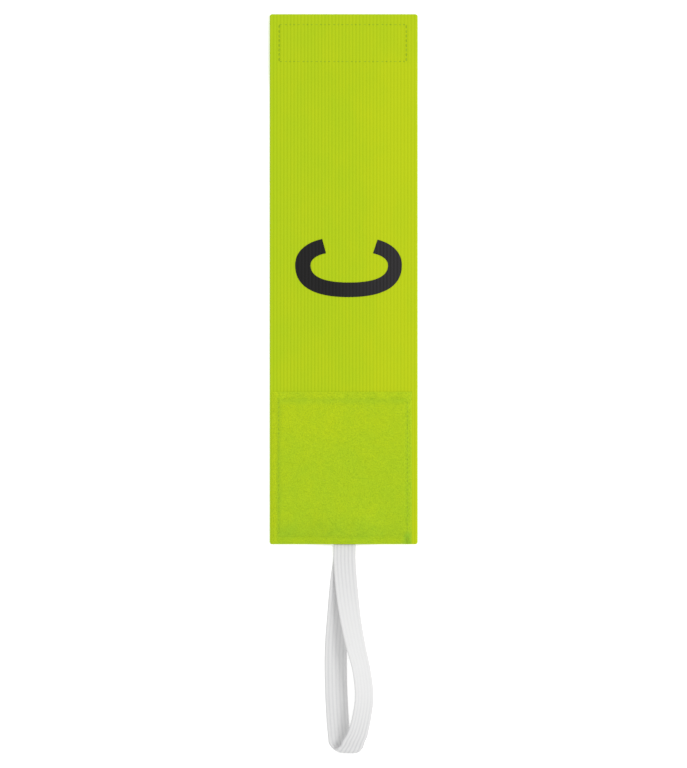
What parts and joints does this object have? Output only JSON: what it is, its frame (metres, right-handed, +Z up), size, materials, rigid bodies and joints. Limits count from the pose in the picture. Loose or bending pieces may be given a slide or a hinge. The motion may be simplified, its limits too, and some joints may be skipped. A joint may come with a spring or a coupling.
{
  "type": "captain armband",
  "caption": "Wide ribbed elastic armband, open and lying flat, with a loop-pile patch, a hook tape end, a narrow elastic loop and a printed captain's letter.",
  "frame": {"origin": "on the surface the armband lies on, under the middle of its whole length and of the band's width", "axes": "+X across the band, to the right in the picture; +Y along the band towards the hook tape end; +Z up, away from the surface"},
  "size_m": [0.08, 0.3996, 0.0171],
  "materials": {
    "ribbed_elastic": "lime ribbed elastic, matte",
    "loop_pile": "lime brushed loop pile, matte",
    "hook_tape": "lime moulded hooks, satin",
    "white_elastic": "white woven elastic, matte",
    "letter_print": "charcoal rubbery print, low sheen"
  },
  "bodies": {
    "root": {"band": "ribbed_elastic", "loop_patch": "loop_pile", "hook_tape": "hook_tape", "elastic_loop": "white_elastic", "captain_letter": "letter_print"}
  },
  "joints": []
}
